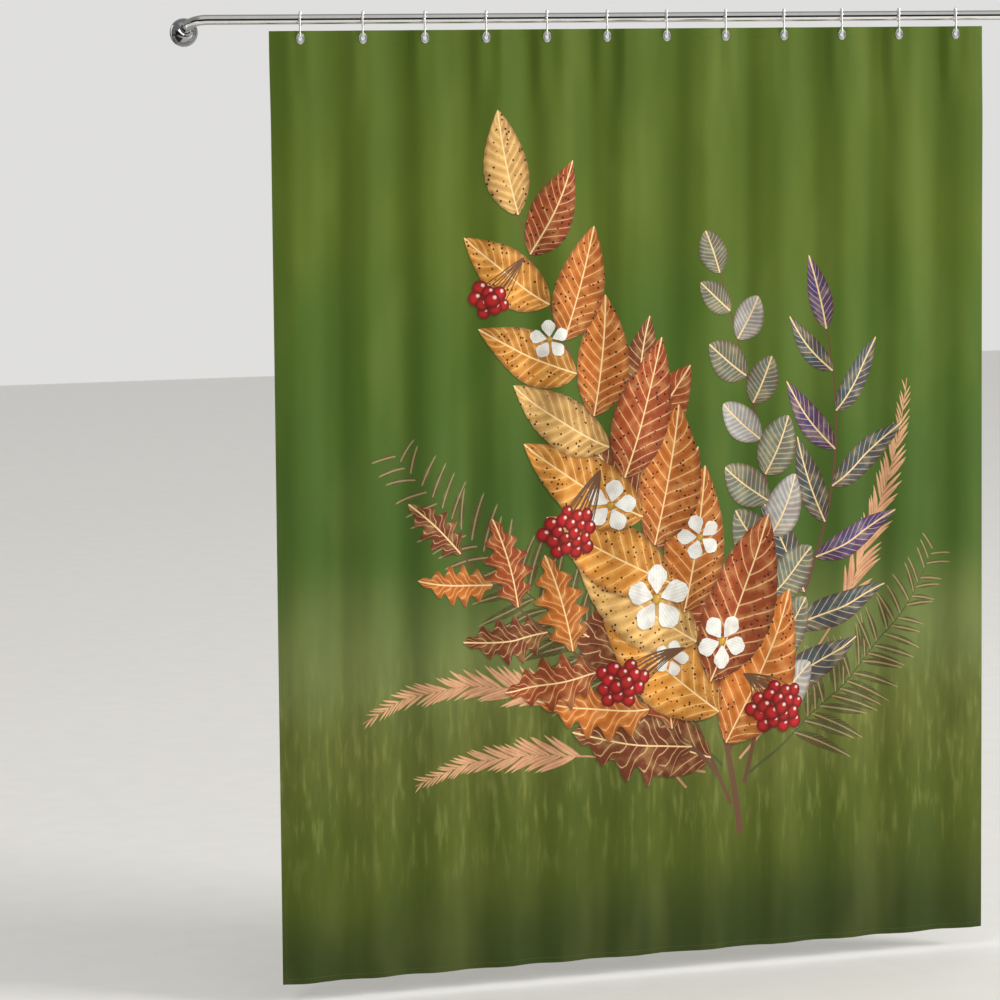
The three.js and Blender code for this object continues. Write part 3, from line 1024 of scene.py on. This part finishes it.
def border_edges(faces):
    """Edges that only one triangle has, in that triangle's direction."""
    edges = np.vstack([faces[:, [0, 1]], faces[:, [1, 2]], faces[:, [2, 0]]])
    keys = np.sort(edges, axis=1)
    _, first, counts = np.unique(keys, axis=0, return_index=True, return_counts=True)
    return edges[first[counts == 1]]


half_cloth = CLOTH_THICKNESS / 2
front, normals = hang(flat_points, half_cloth - stitch_pull(flat_points))
back, _ = hang(flat_points, -half_cloth - CLOTH_THICKNESS * in_hem(flat_points))
sample = front[triangles[0]]
facing = np.cross(sample[1] - sample[0], sample[2] - sample[0])[1]
front_faces = triangles if facing < 0 else triangles[:, ::-1]
back_faces = front_faces[:, ::-1] + len(front)
start, end = border_edges(front_faces).T
back_start, back_end = start + len(front), end + len(front)
one_half = np.stack([end, start, back_start], axis=1)
other_half = np.stack([end, back_start, back_end], axis=1)
rim_faces = np.vstack([one_half, other_half])
cloth_points = np.vstack([front, back])
cloth_faces = np.vstack([front_faces, back_faces, rim_faces])
print("hung cloth", len(cloth_points), "points", len(cloth_faces), "triangles")

# %% [markdown]
# ## Telling the ink where it is
#
# The material must know, at each corner of each triangle, which motif it belongs to. Named attributes
# carry that: the flat place of the point, the motif's colour, its own along-and-across place, and how
# much of each ink effect it takes. Two more say which side of the cloth a face is on and how much
# shade falls on it. They travel with the mesh, so the print bends and gathers with the cloth.

# %% Store the print on the mesh


def corner_attributes():
    """The motif's colour, the place on the motif and the ink, at each corner of the front."""
    count = len(front_faces)
    colour, spot, ink = (np.zeros((count, 3, width)) for width in (4, 3, 4))
    corners = flat_points[front_faces]
    for number in np.unique(top_motif[top_motif >= 0]):
        mine = top_motif == number
        motif = motifs[number]
        colour[mine] = (*motif["colour"][:3], 1.0)
        ink[mine] = motif["ink"]
        spot[mine] = motif["place"](corners[mine].reshape(-1, 2)).reshape(-1, 3, 3)
    return colour, spot, ink


def both_sides(values):
    """The front's corner values, then the back's in its reversed order, then the rim's."""
    width = values.shape[2]
    rim_values = np.zeros((len(rim_faces) * 3, width))
    return np.vstack([values.reshape(-1, width), values[:, ::-1].reshape(-1, width), rim_values])


motif_colour, motif_spot, motif_ink = corner_attributes()
cloth_finish, cloth_bench, cloth_shader = new_finish("printed_polyester")
cloth = make_object("curtain_cloth", cloth_points, cloth_faces.tolist(), cloth_finish)
mesh = cloth.data


def store(name, kind, domain, values, key):
    attribute = mesh.attributes.new(name, kind, domain)
    attribute.data.foreach_set(key, np.asarray(values, np.float32).ravel())


flat_both = np.vstack([flat_points, flat_points])
flat_place = np.column_stack([flat_both, np.zeros(len(flat_both))])
store("flat_place", "FLOAT_VECTOR", "POINT", flat_place, "vector")
store("motif_colour", "FLOAT_COLOR", "CORNER", both_sides(motif_colour), "color")
store("motif_ink", "FLOAT_COLOR", "CORNER", both_sides(motif_ink), "color")
store("motif_spot", "FLOAT_VECTOR", "CORNER", both_sides(motif_spot), "vector")
FRONT, BACK, RIM = 0.0, 1.0, 0.6
sides = np.repeat([FRONT, BACK, RIM], [len(front_faces), len(back_faces), len(rim_faces)])
store("cloth_side", "FLOAT", "FACE", sides, "value")
shades = np.concatenate([print_shade, print_shade, np.ones(len(rim_faces))])
store("print_shade", "FLOAT", "FACE", shades, "value")
custom = np.vstack([normals, -normals])
mesh.normals_split_custom_set_from_vertices(custom.tolist())
print("attributes", [a.name for a in mesh.attributes if not a.name.startswith(".")][:8])

# %% [markdown]
# ## The meadow ground
#
# Behind the spray the print is a meadow far out of focus: deep green at the top, a paler misty band
# two thirds of the way down and dark olive at the foot. A ramp down the cloth gives those zones. Two
# soft noises, one stretched upright, break it up as blurred stalks do.

# %% Ground colours
GROUND = [
    (0.00, linear(75, 95, 23)), (0.20, linear(80, 99, 25)), (0.33, linear(69, 95, 25)),
    (0.54, linear(66, 92, 31)), (0.67, linear(103, 114, 61)), (0.76, linear(91, 98, 38)),
    (0.86, linear(77, 89, 23)), (1.00, linear(48, 60, 18)),
]


def meadow_ground(bench):
    """The blurred meadow: the ramp of zones, broken up by upright stalks and grass tips."""
    flat = bench.stored("flat_place")
    drop = bench.split(flat)[1]
    shift = bench.maths("MULTIPLY_ADD", bench.noise(flat, 2.6, 1.5), 0.10, -0.05)
    ramp = bench.add("ValToRGB", {0: bench.maths("MULTIPLY_ADD", drop, 1 / FLAT_DROP, shift)})
    ramp.color_ramp.interpolation = "EASE"
    stops = ramp.color_ramp.elements
    while len(stops) < len(GROUND):
        stops.new(0.5)
    for stop, (place, colour) in zip(stops, GROUND):
        stop.position = place
        stop.color = colour
    upright = bench.add("Mapping", {"Vector": flat, "Scale": (1.0, 0.28, 1.0)}).outputs[0]
    stalks = bench.noise(upright, 9.0, 2.0)
    ground = bench.mix(bench.fade(stalks, 0.46, 0.70, 0.10), ramp.outputs[0], linear(146, 150, 80))
    ground = bench.mix(bench.fade(stalks, 0.54, 0.32, 0.16), ground, linear(48, 72, 26))
    return grass_tips(bench, flat, drop, ground)


def grass_tips(bench, flat, drop, ground):
    """Faint blades in the pale band, which are a little nearer and so less blurred."""
    thin = bench.add("Mapping", {"Vector": flat, "Scale": (1.0, 0.16, 1.0)}).outputs[0]
    blades = bench.noise(thin, 75.0, 3.0)
    zone = bench.times(bench.fade(drop, 1.12, 1.36), bench.fade(drop, 1.74, 1.50))
    light = bench.times(bench.fade(blades, 0.50, 0.72, 0.26), zone)
    dark = bench.times(bench.fade(blades, 0.48, 0.30, 0.26), zone)
    ground = bench.mix(light, ground, linear(150, 156, 84))
    return bench.mix(dark, ground, linear(56, 70, 28))


ground_colour = meadow_ground(cloth_bench)
print("ground stops", len(GROUND))

# %% [markdown]
# ## The inks of the spray
#
# A leaf is more than a flat shape: a pale midrib, side veins that lean to the tip, a darker edge,
# cloudy colour and brown specks. All of these are worked out from the along-and-across place that the
# mesh carries, so they stay sharp however close the view. Berries are shaded as balls and petals get
# fine streaks, each switched on by its own ink value, so one chain of tints serves every motif.

# %% Leaf inks


def tint(bench, base, share, amount, tone):
    """The base with a share of another tone, as far as the amount of that ink allows."""
    return bench.mix(bench.times(share, amount), base, linear(*tone))


def leaf_ground(bench, base, flat, along, across, vein):
    """A leaf's uneven colour: a darker half and root, brown clouds and pale patches."""
    base = tint(bench, base, bench.fade(across, 0.04, -0.04, 0.20), vein, (70, 34, 22))
    base = tint(bench, base, bench.fade(along, 0.34, 0.0, 0.30), vein, (66, 44, 22))
    clouds = bench.noise(flat, 34.0, 4.0)
    base = tint(bench, base, bench.fade(clouds, 0.35, 0.70), 0.30, (110, 50, 26))
    return tint(bench, base, bench.fade(clouds, 0.55, 0.30, 0.22), vein, (240, 200, 130))


def leaf_veins(bench, base, along, from_rib, off, vein):
    """Side veins and the quilting between them, the midrib, and a darker edge."""
    phase = bench.maths("MULTIPLY_ADD", along, 11.0, bench.times(from_rib, -1.9))
    ripple = bench.maths("PINGPONG", phase, 0.5)
    side_vein = bench.times(bench.rest(bench.fade(ripple, 0.02, 0.09)), 0.55)
    midrib = bench.rest(bench.fade(bench.maths("ABSOLUTE", off), 0.0008, 0.0022))
    veins = bench.maths("MAXIMUM", side_vein, midrib)
    leaf = tint(bench, base, bench.fade(ripple, 0.05, 0.5, 0.28), vein, (90, 40, 22))
    leaf = tint(bench, leaf, veins, vein, (238, 206, 150))
    return tint(bench, leaf, bench.fade(from_rib, 0.72, 1.0, 0.5), vein, (84, 38, 22))


def leaf_specks(bench, leaf, flat, from_rib, speck):
    cells = bench.add("TexVoronoi", {"Vector": flat, "Scale": 105.0, "Randomness": 0.8})
    dots = bench.rest(bench.fade(cells.outputs["Distance"], 0.20, 0.30))
    dots = bench.times(dots, bench.fade(from_rib, 0.12, 0.30))
    return tint(bench, leaf, dots, speck, (58, 32, 24))


print("nodes before the inks", len(cloth_bench.tree.nodes))

# %% All the motifs' inks


def motif_inks(bench):
    """The colour of the motifs, and where they cover the ground."""
    colour = bench.add("Attribute", attribute_name="motif_colour").outputs
    ink = bench.add("Attribute", attribute_name="motif_ink").outputs
    vein, speck, ball = bench.add("SeparateColor", {0: ink["Color"]}).outputs
    along, across, off = bench.split(bench.stored("motif_spot"))
    flat = bench.stored("flat_place")
    from_rib = bench.maths("ABSOLUTE", across)
    made = leaf_ground(bench, colour["Color"], flat, along, across, vein)
    made = leaf_veins(bench, made, along, from_rib, off, vein)
    made = leaf_specks(bench, made, flat, from_rib, speck)
    made = tint(bench, made, bench.fade(along, 0.25, 1.05, 0.75), ball, (56, 10, 16))
    shine = bench.times(bench.rest(bench.fade(across, 0.10, 0.34)), 0.85)
    made = tint(bench, made, shine, ball, (250, 226, 214))
    streaks = bench.maths("SINE", bench.times(across, 22.0))
    faint = bench.maths("MULTIPLY_ADD", streaks, 0.10, 0.10)
    return tint(bench, made, faint, ink["Alpha"], (150, 146, 130)), colour["Alpha"]


spray_colour, spray_cover = motif_inks(cloth_bench)
print("ink nodes", len(cloth_bench.tree.nodes))

# %% [markdown]
# ## The cloth under the ink
#
# The cloth is a fine plain-weave polyester. Its printed face has a faint sheen and lets a trace of
# the weave through the ink. The back was never printed: it is pale, and the design only ghosts
# through. Weave is two crossed waves of threads in the flat place, so it follows the folds.

# %% Finish the cloth
WARP_PITCH, WEFT_PITCH = 0.0011, 0.0012


def finish_cloth(bench, shader):
    """The print on the front, its ghost on the back, and the threads of both."""
    flat = bench.stored("flat_place")
    side = bench.stored("cloth_side", "Fac")
    shade = bench.stored("print_shade", "Fac")
    printed = bench.mix(spray_cover, ground_colour, spray_colour)
    printed = bench.mix(bench.rest(shade), printed, linear(16, 20, 8))
    ghost = bench.mix(0.62, printed, linear(214, 216, 206))
    colour = bench.mix(bench.fade(side, 0.4, 0.7), printed, ghost)

    across, drop, _ = bench.split(flat)
    warp = bench.maths("SINE", bench.times(across, 2 * math.pi / WARP_PITCH))
    weft = bench.maths("SINE", bench.times(drop, 2 * math.pi / WEFT_PITCH))
    slubs = bench.noise(flat, 420.0, 3.0)
    height = bench.maths("MULTIPLY_ADD", slubs, 0.5, bench.times(warp, weft))
    inputs = {
        "Base Color": bench.mix(bench.times(slubs, 0.16), colour, linear(60, 66, 40)),
        "Roughness": bench.maths("MULTIPLY_ADD", slubs, 0.16, 0.60),
        "Normal": bench.bump(height, 0.18, 0.0001),
        "Specular IOR Level": 0.14,
        "Sheen Weight": 0.03,
        "Sheen Roughness": 0.5,
    }
    bench.plug(shader, inputs)


finish_cloth(cloth_bench, cloth_shader)
print("cloth finish ready")

# %% [markdown]
# ## Stitches
#
# A single row of lockstitch closes each hem. At arm's length it reads as a fine line, and up close as
# separate threads, so each stitch is a tiny rounded bar lying on the cloth. One bar is drawn once and
# repeated along the four lines by the same hanging function as the cloth.

# %% Thread and stitches
STITCH_LENGTH, STITCH_PITCH, THREAD_RADIUS, THREAD_SIDES = 0.0026, 0.0034, 0.00028, 6
STOPS_ALONG = np.array([-0.5, -0.35, 0.0, 0.35, 0.5]) * STITCH_LENGTH
THREAD_SWELL = np.array([0.25, 0.85, 1.0, 0.85, 0.25]) * THREAD_RADIUS


def thread_finish():
    material, bench, shader = new_finish("hem_thread")
    fuzz = bench.noise(bench.add("TexCoord").outputs["Object"], 800.0, 3.0)
    inputs = {
        "Base Color": bench.mix(fuzz, linear(66, 84, 38), linear(98, 116, 60)),
        "Roughness": 0.65,
        "Normal": bench.bump(fuzz, 0.3, 0.0001),
    }
    bench.plug(shader, inputs)
    return material


def stitch_centres():
    """Flat centres of every stitch, in two rows across (0) and two rows down (1)."""
    across = np.arange(SIDE_HEM, FLAT_WIDTH - SIDE_HEM, STITCH_PITCH) + STITCH_PITCH / 2
    down = np.arange(TOP_HEM, FLAT_DROP - BOTTOM_HEM, STITCH_PITCH) + STITCH_PITCH / 2
    rows_across = [(x, y, 0) for y in (TOP_HEM, FLAT_DROP - BOTTOM_HEM) for x in across]
    rows_down = [(x, y, 1) for x in (SIDE_HEM, FLAT_WIDTH - SIDE_HEM) for y in down]
    return np.array([*rows_across, *rows_down])


thread = thread_finish()
print("stitches", len(stitch_centres()))

# %% Sew the hems


def sew():
    """Points and faces of every stitch: five small rings of points each, closed at both ends."""
    centres = stitch_centres()
    points, faces = [], []
    for stop, radius in zip(STOPS_ALONG, THREAD_SWELL):
        for turn in full_turn(THREAD_SIDES):
            sideways, lift = radius * math.cos(turn), radius * math.sin(turn)
            flat = centres[:, :2].copy()
            flat[:, 0] += np.where(centres[:, 2] > 0.5, sideways, stop)
            flat[:, 1] += np.where(centres[:, 2] > 0.5, stop, sideways)
            points.append(hang(flat, half_cloth + lift)[0])
    points = np.stack(points, axis=1)
    count = points.shape[1]
    for k in range(len(STOPS_ALONG) - 1):
        faces += band(k * THREAD_SIDES, (k + 1) * THREAD_SIDES, THREAD_SIDES)
    faces += [tuple(range(THREAD_SIDES)), tuple(range(count - THREAD_SIDES, count))]
    all_faces = [tuple(n * count + k for k in face) for n in range(len(centres)) for face in faces]
    return points.reshape(-1, 3), all_faces


stitches = make_object("hem_stitches", *sew(), thread)
print("stitching", len(stitches.data.vertices), "points")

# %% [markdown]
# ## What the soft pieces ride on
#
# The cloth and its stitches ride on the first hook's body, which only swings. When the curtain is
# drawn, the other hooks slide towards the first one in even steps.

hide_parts(*(f"panel_{number}" for number in hook_numbers))
for piece in (cloth, stitches):
    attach(piece, "hanger_01")
    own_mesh(piece)
eyelet_names = [f"eyelet_{number}_ring" for number in hook_numbers]

# %% [markdown]
# ## Floor and light
#
# The studio is a pale floor a little under the hem, an even pale sky, a weak light on the left and
# one large soft light high on the right. That light grazes the folds, so the flank that looks right
# is bright and the other is dim. Chrome also needs something dark to mirror, so parts of the floor
# and the sky turn dark, for reflections alone. Three cards of light stand near the left flange and
# reach only the flanges or only the rod. They give the white glint at the rod's foot and keep its
# bend pale.

# %% Floor


def grey(level, alpha=1):
    return (level, level, level, alpha)


def pale_floor():
    """A pale floor. Its mirror image is dark far off and in a patch on the left, dim at the back."""
    material, bench, shader = new_finish("studio_floor")
    place = bench.add("TexCoord").outputs["Object"]
    tone = bench.mix(bench.noise(place, 14.0, 4.0), linear(222, 220, 216), linear(230, 228, 225))
    across, ahead, _ = bench.split(place)
    far = bench.maths("MAXIMUM", bench.fade(ahead, -3.2, -4.6), bench.fade(across, -4.5, -6.5))
    beside = bench.times(bench.fade(ahead, -2.6, -2.0), bench.fade(ahead, 1.6, 0.6))
    patch = bench.times(bench.fade(across, -0.45, -0.85), beside)
    at_back = bench.fade(ahead, -0.2, 0.7, 0.45)
    dark = bench.maths("MAXIMUM", bench.maths("MAXIMUM", far, patch), at_back)
    mirrored = bench.add("LightPath").outputs["Is Glossy Ray"]
    dark_room = bench.times(bench.times(dark, mirrored), 0.97)
    inputs = {"Base Color": bench.mix(dark_room, tone, grey(0.01)), "Roughness": 0.7}
    bench.plug(shader, inputs)
    return material


FLOOR_BELOW_HEM, FLOOR_REACH = 0.040, 14.0
floor_z = cloth_top - FLAT_DROP - FLOOR_BELOW_HEM
floor_corners = [
    (FLOOR_REACH * across, FLOOR_REACH * ahead, floor_z)
    for across, ahead in ((-1, -1), (1, -1), (1, 1), (-1, 1))
]
floor = make_object("floor", floor_corners, [(0, 1, 2, 3)], pale_floor(), smooth=False)
print("floor at", round(floor_z, 3))

# %% Sky


def studio_sky():
    """An even pale sky. Its mirror image has a dark room to the front and a dim left side."""
    world = bpy.data.worlds.new("studio_sky")
    bpy.context.scene.world = world
    world.use_nodes = True
    bench = Bench(world.node_tree)
    direction = bench.add("TexCoord").outputs["Generated"]
    across, ahead, up = bench.split(direction)
    level = bench.rest(bench.fade(bench.maths("ABSOLUTE", up), 0.22, 0.46))
    room = bench.times(level, bench.fade(ahead, 0.1, -0.4))
    left = bench.times(bench.fade(across, -0.30, -0.50), bench.fade(ahead, -0.75, -0.50))
    front_to_back = bench.fade(ahead, -0.1, 0.3)
    mirrored = bench.mix(front_to_back, (0.66, 0.66, 0.65, 1), (0.32, 0.32, 0.315, 1))
    mirrored = bench.mix(left, mirrored, grey(0.28))
    mirrored = bench.mix(room, mirrored, grey(0.010))
    glossy = bench.add("LightPath").outputs["Is Glossy Ray"]
    colour = bench.mix(glossy, (0.78, 0.775, 0.765, 1), mirrored)
    background = bench.add("Background", {"Color": colour, "Strength": 0.95})
    bench.add("OutputWorld", {0: background.outputs[0]})
    print("sky nodes", len(bench.tree.nodes))


studio_sky()

# %% Lights


def soft_light(name, place, target, size, power, tone=(1, 1, 1), roll=0.0):
    """A rectangle of light at a place, turned to its target and rolled about that line."""
    lamp = bpy.data.lights.new(name, "AREA")
    lamp.shape = "RECTANGLE"
    lamp.size, lamp.size_y = size
    lamp.energy = power
    lamp.color = tone
    made = bpy.data.objects.new(name, lamp)
    made.location = place
    aim = (Vector(target) - Vector(place)).to_track_quat("-Z", "Y")
    made.rotation_euler = (aim @ Quaternion((0, 0, 1), roll)).to_euler()
    bpy.context.collection.objects.link(made)
    return made


def lights_only(lamp, names, state="INCLUDE"):
    """Limit a lamp to some pieces, or to all the others when the state is EXCLUDE."""
    lit = bpy.data.collections.new(f"{lamp.name}_pieces")
    for name in names:
        lit.objects.link(bpy.data.objects[name])
    for link in lit.collection_objects:
        link.light_linking.link_state = state
    lamp.light_linking.receiver_collection = lit


curtain_middle = ((cloth_left + cloth_right) / 2, cloth_plane, cloth_top - FLAT_DROP / 2)
flange_middle, flange_names = (0, 0, 0), ["flange_left_dome", "flange_right_dome"]
in_left_bend = path[20]
KEY_TONE, FILL_TONE = (1.0, 0.985, 0.96), (0.96, 0.98, 1.0)
CARD_ROLL = math.radians(-40)

key = soft_light("key_right", (9.0, -5.4, 2.9), curtain_middle, (3.6, 4.2), 900, KEY_TONE)
lights_only(key, [*flange_names, *eyelet_names], "EXCLUDE")
fill = soft_light("fill_left", (-2.6, -4.2, 3.4), curtain_middle, (1.5, 1.5), 60, FILL_TONE)
fill.visible_glossy = False
spark = soft_light("spark_card", (-1.14, -2.70, 0.65), flange_middle, (3.2, 1.0), 28, roll=CARD_ROLL)
front_card = soft_light("front_card", (2.0, -2.23, -0.10), flange_middle, (4.2, 1.3), 12)
low_card = soft_light("low_card", (-0.84, -0.21, -0.85), in_left_bend, (2.0, 1.0), 4.7)
for card, names in ((spark, flange_names), (front_card, flange_names), (low_card, ["rod"])):
    card.visible_camera = False
    lights_only(card, names)
print("lights", [lamp.name for lamp in (key, fill, spark, front_card, low_card)])

# %% [markdown]
# ## Camera
#
# The photograph was taken from a little left of the curtain, level with the rod. The camera here has
# the same place and direction, found from the curtain's corners, the hooks and the flange. A long
# lens keeps the far side almost as tall as the near one, as in the photograph.

# %% Place the camera
CAMERA_PLACE = (-1.679, -7.121, -0.041)
CAMERA_TURN, CAMERA_DIP, CAMERA_ROLL = (math.radians(v) for v in (17.907, 4.883, -0.511))
LENS, SENSOR, FRAME_SHIFT = 138.4, 36.0, -0.12
NEAREST, FARTHEST = 0.05, 60

lens = bpy.data.cameras.new("camera")
lens.lens, lens.sensor_width = LENS, SENSOR
lens.shift_y = FRAME_SHIFT
lens.clip_start, lens.clip_end = NEAREST, FARTHEST
camera = bpy.data.objects.new("camera", lens)
bpy.context.collection.objects.link(camera)
right = Vector((math.cos(CAMERA_TURN), -math.sin(CAMERA_TURN), 0))
level_ahead = Vector((math.sin(CAMERA_TURN), math.cos(CAMERA_TURN), 0))
forward = level_ahead * math.cos(CAMERA_DIP) - Vector((0, 0, math.sin(CAMERA_DIP)))
up = right.cross(forward)
rolled_right = right * math.cos(CAMERA_ROLL) + up * math.sin(CAMERA_ROLL)
rolled_up = up * math.cos(CAMERA_ROLL) - right * math.sin(CAMERA_ROLL)
camera.rotation_euler = Matrix((rolled_right, rolled_up, -forward)).transposed().to_euler()
camera.location = CAMERA_PLACE
bpy.context.scene.camera = camera
bpy.context.scene.view_settings.view_transform = "Standard"
print("camera", CAMERA_PLACE)
